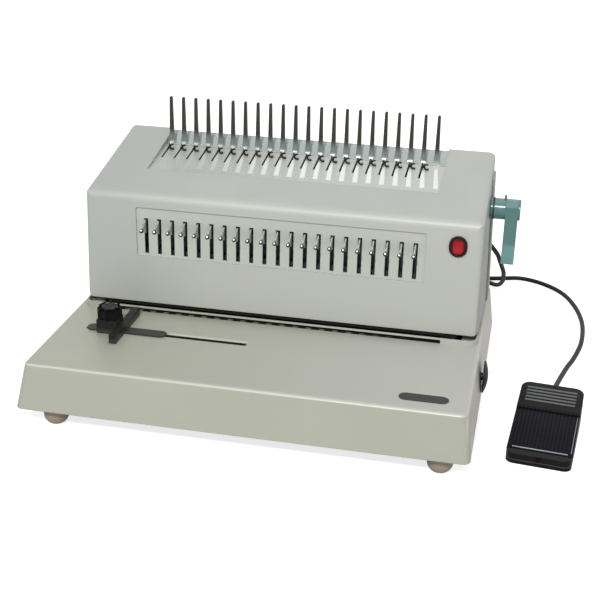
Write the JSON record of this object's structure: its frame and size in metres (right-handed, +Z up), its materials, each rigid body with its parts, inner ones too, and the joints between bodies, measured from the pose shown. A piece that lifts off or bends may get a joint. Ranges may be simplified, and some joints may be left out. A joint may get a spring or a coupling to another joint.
{
  "type": "electric comb binding machine",
  "caption": "Desktop electric punch and comb opener with a slotted die panel, a row of upright comb fingers, a side lever, a paper guide and a wired foot pedal",
  "frame": {"origin": "middle of the footprint of the machine and its pedal, on the desk", "axes": "+X to the right seen from the front, +Y to the rear, +Z up"},
  "size_m": [0.5562, 0.5327, 0.2724],
  "materials": {
    "base_paint": "satin hammer-free paint",
    "head_paint": "satin paint",
    "rear_paint": "satin paint",
    "pan_steel": "matt paint",
    "feet_rubber": "moulded rubber",
    "frame_steel": "plain plate",
    "deck_steel": "fine brushed",
    "finger_steel": "polished dark steel",
    "tool_steel": "ground",
    "gear_steel": "machined",
    "ram_iron": "machined casting",
    "bush_bronze": "sintered bronze",
    "motor_paint": "matt paint",
    "black_plastic": "fine grained",
    "cord_sheath": "smooth sheath",
    "screw_steel": "plated",
    "lever_teal": "moulded",
    "rocker_red": "translucent red",
    "selector_chrome": "plated"
  },
  "bodies": {
    "chassis": {"base_cover": "base_paint", "bottom_pan": "pan_steel", "rubber_feet": "feet_rubber", "side_frames": "frame_steel", "head_cover": "head_paint", "front_panel": "head_paint", "rear_panel": "rear_paint", "comb_deck": "deck_steel", "finger_trough": "deck_steel", "comb_fingers": "finger_steel", "die_plate": "tool_steel", "punch_guide": "tool_steel", "bearing_bushes": "bush_bronze", "drive_motor": "motor_paint", "switch_bezel": "black_plastic", "power_inlet": "black_plastic", "cover_screws": "screw_steel", "cord_gland": "black_plastic", "pedal_cord": "cord_sheath", "pedal_base": "black_plastic"},
    "comb_lever": {"comb_handle": "lever_teal", "handle_pin": "tool_steel", "comb_shaft": "tool_steel", "shaft_pinions": "gear_steel"},
    "hook_slide": {"hook_carriage": "frame_steel", "comb_hooks": "finger_steel"},
    "cam_drive": {"cam_shaft": "tool_steel", "press_cams": "gear_steel", "cam_gear": "gear_steel"},
    "drive_pinion": {"motor_pinion": "gear_steel"},
    "ram": {"ram_beam": "ram_iron", "punch_pins": "tool_steel"},
    "rocker": {"power_rocker": "rocker_red"},
    "guide": {"side_guide": "black_plastic"},
    "clamp": {"guide_knob": "black_plastic"},
    "margin_dial": {"margin_knob": "black_plastic"},
    "margin_bar": {"margin_stop": "frame_steel"},
    "tray": {"chip_tray": "black_plastic"},
    "treadle": {"pedal_treadle": "black_plastic"},
    "die_selector_01": {"die_selector_01": "selector_chrome"},
    "die_selector_02": {"die_selector_02": "selector_chrome"},
    "die_selector_03": {"die_selector_03": "selector_chrome"},
    "die_selector_04": {"die_selector_04": "selector_chrome"},
    "die_selector_05": {"die_selector_05": "selector_chrome"},
    "die_selector_06": {"die_selector_06": "selector_chrome"},
    "die_selector_07": {"die_selector_07": "selector_chrome"},
    "die_selector_08": {"die_selector_08": "selector_chrome"},
    "die_selector_09": {"die_selector_09": "selector_chrome"},
    "die_selector_10": {"die_selector_10": "selector_chrome"},
    "die_selector_11": {"die_selector_11": "selector_chrome"},
    "die_selector_12": {"die_selector_12": "selector_chrome"},
    "die_selector_13": {"die_selector_13": "selector_chrome"},
    "die_selector_14": {"die_selector_14": "selector_chrome"},
    "die_selector_15": {"die_selector_15": "selector_chrome"},
    "die_selector_16": {"die_selector_16": "selector_chrome"},
    "die_selector_17": {"die_selector_17": "selector_chrome"},
    "die_selector_18": {"die_selector_18": "selector_chrome"},
    "die_selector_19": {"die_selector_19": "selector_chrome"},
    "die_selector_20": {"die_selector_20": "selector_chrome"},
    "die_selector_21": {"die_selector_21": "selector_chrome"}
  },
  "joints": [
    {"name": "comb_lever_pull", "type": "hinge", "parent": "chassis", "child": "comb_lever", "pos_m": [0.16576, 0.1045, 0.18249], "axis": [-1, 0, 0], "range_deg": [0, 100]},
    {"name": "hook_carriage_slide", "type": "slide", "parent": "chassis", "child": "hook_slide", "axis": [0, -0.989, -0.1477], "range_m": [0, 0.02794]},
    {"name": "camshaft_turn", "type": "hinge", "parent": "chassis", "child": "cam_drive", "pos_m": [-0.04924, 0.0845, 0.112], "axis": [-1, 0, 0], "range_deg": [0, 150]},
    {"name": "motor_pinion_turn", "type": "hinge", "parent": "chassis", "child": "drive_pinion", "pos_m": [0.05076, 0.1225, 0.12989], "axis": [-1, 0, 0], "range_deg": [-300.1, 0]},
    {"name": "ram_stroke", "type": "slide", "parent": "chassis", "child": "ram", "axis": [0, 0, -1], "range_m": [0, 0.0165]},
    {"name": "power_rocker_tip", "type": "hinge", "parent": "chassis", "child": "rocker", "pos_m": [0.13626, 0.0055, 0.1735], "axis": [1, 0, 0], "range_deg": [0, 12]},
    {"name": "side_guide_slide", "type": "slide", "parent": "chassis", "child": "guide", "axis": [1, 0, 0], "range_m": [0, 0.08]},
    {"name": "clamp_knob_turn", "type": "hinge", "parent": "guide", "child": "clamp", "pos_m": [-0.21324, -0.0575, 0.09], "axis": [0, 0, 1], "range_deg": [0, 180]},
    {"name": "margin_knob_turn", "type": "hinge", "parent": "chassis", "child": "margin_dial", "pos_m": [0.16576, -0.0175, 0.042], "axis": [1, 0, 0], "range_deg": [-25, 25]},
    {"name": "margin_stop_slide", "type": "slide", "parent": "chassis", "child": "margin_bar", "axis": [0, 1, 0], "range_m": [-0.00244, 0.00244]},
    {"name": "chip_tray_slide", "type": "slide", "parent": "chassis", "child": "tray", "axis": [-1, 0, 0], "range_m": [0, 0.3]},
    {"name": "treadle_press", "type": "hinge", "parent": "chassis", "child": "treadle", "pos_m": [0.24379, -0.0127, 0.01982], "axis": [0.9956, -0.0941, 0], "range_deg": [0, 2.5], "stiffness_Nm_per_rad": 0.6, "springref_deg": -5.73},
    {"name": "die_selector_01_pull", "type": "slide", "parent": "ram", "child": "die_selector_01", "axis": [0, -1, 0], "range_m": [0, 0.006]},
    {"name": "die_selector_02_pull", "type": "slide", "parent": "ram", "child": "die_selector_02", "axis": [0, -1, 0], "range_m": [0, 0.006]},
    {"name": "die_selector_03_pull", "type": "slide", "parent": "ram", "child": "die_selector_03", "axis": [0, -1, 0], "range_m": [0, 0.006]},
    {"name": "die_selector_04_pull", "type": "slide", "parent": "ram", "child": "die_selector_04", "axis": [0, -1, 0], "range_m": [0, 0.006]},
    {"name": "die_selector_05_pull", "type": "slide", "parent": "ram", "child": "die_selector_05", "axis": [0, -1, 0], "range_m": [0, 0.006]},
    {"name": "die_selector_06_pull", "type": "slide", "parent": "ram", "child": "die_selector_06", "axis": [0, -1, 0], "range_m": [0, 0.006]},
    {"name": "die_selector_07_pull", "type": "slide", "parent": "ram", "child": "die_selector_07", "axis": [0, -1, 0], "range_m": [0, 0.006]},
    {"name": "die_selector_08_pull", "type": "slide", "parent": "ram", "child": "die_selector_08", "axis": [0, -1, 0], "range_m": [0, 0.006]},
    {"name": "die_selector_09_pull", "type": "slide", "parent": "ram", "child": "die_selector_09", "axis": [0, -1, 0], "range_m": [0, 0.006]},
    {"name": "die_selector_10_pull", "type": "slide", "parent": "ram", "child": "die_selector_10", "axis": [0, -1, 0], "range_m": [0, 0.006]},
    {"name": "die_selector_11_pull", "type": "slide", "parent": "ram", "child": "die_selector_11", "axis": [0, -1, 0], "range_m": [0, 0.006]},
    {"name": "die_selector_12_pull", "type": "slide", "parent": "ram", "child": "die_selector_12", "axis": [0, -1, 0], "range_m": [0, 0.006]},
    {"name": "die_selector_13_pull", "type": "slide", "parent": "ram", "child": "die_selector_13", "axis": [0, -1, 0], "range_m": [0, 0.006]},
    {"name": "die_selector_14_pull", "type": "slide", "parent": "ram", "child": "die_selector_14", "axis": [0, -1, 0], "range_m": [0, 0.006]},
    {"name": "die_selector_15_pull", "type": "slide", "parent": "ram", "child": "die_selector_15", "axis": [0, -1, 0], "range_m": [0, 0.006]},
    {"name": "die_selector_16_pull", "type": "slide", "parent": "ram", "child": "die_selector_16", "axis": [0, -1, 0], "range_m": [0, 0.006]},
    {"name": "die_selector_17_pull", "type": "slide", "parent": "ram", "child": "die_selector_17", "axis": [0, -1, 0], "range_m": [0, 0.006]},
    {"name": "die_selector_18_pull", "type": "slide", "parent": "ram", "child": "die_selector_18", "axis": [0, -1, 0], "range_m": [0, 0.006]},
    {"name": "die_selector_19_pull", "type": "slide", "parent": "ram", "child": "die_selector_19", "axis": [0, -1, 0], "range_m": [0, 0.006]},
    {"name": "die_selector_20_pull", "type": "slide", "parent": "ram", "child": "die_selector_20", "axis": [0, -1, 0], "range_m": [0, 0.006]},
    {"name": "die_selector_21_pull", "type": "slide", "parent": "ram", "child": "die_selector_21", "axis": [0, -1, 0], "range_m": [0, 0.006]}
  ],
  "couplings": [
    {"joint": "hook_carriage_slide", "follows": "comb_lever_pull", "m_per_rad": 0.016},
    {"joint": "camshaft_turn", "follows": "ram_stroke", "rad_per_m": 158.67},
    {"joint": "motor_pinion_turn", "follows": "ram_stroke", "rad_per_m": -317.33},
    {"joint": "margin_knob_turn", "follows": "margin_stop_slide", "rad_per_m": -178.57}
  ]
}
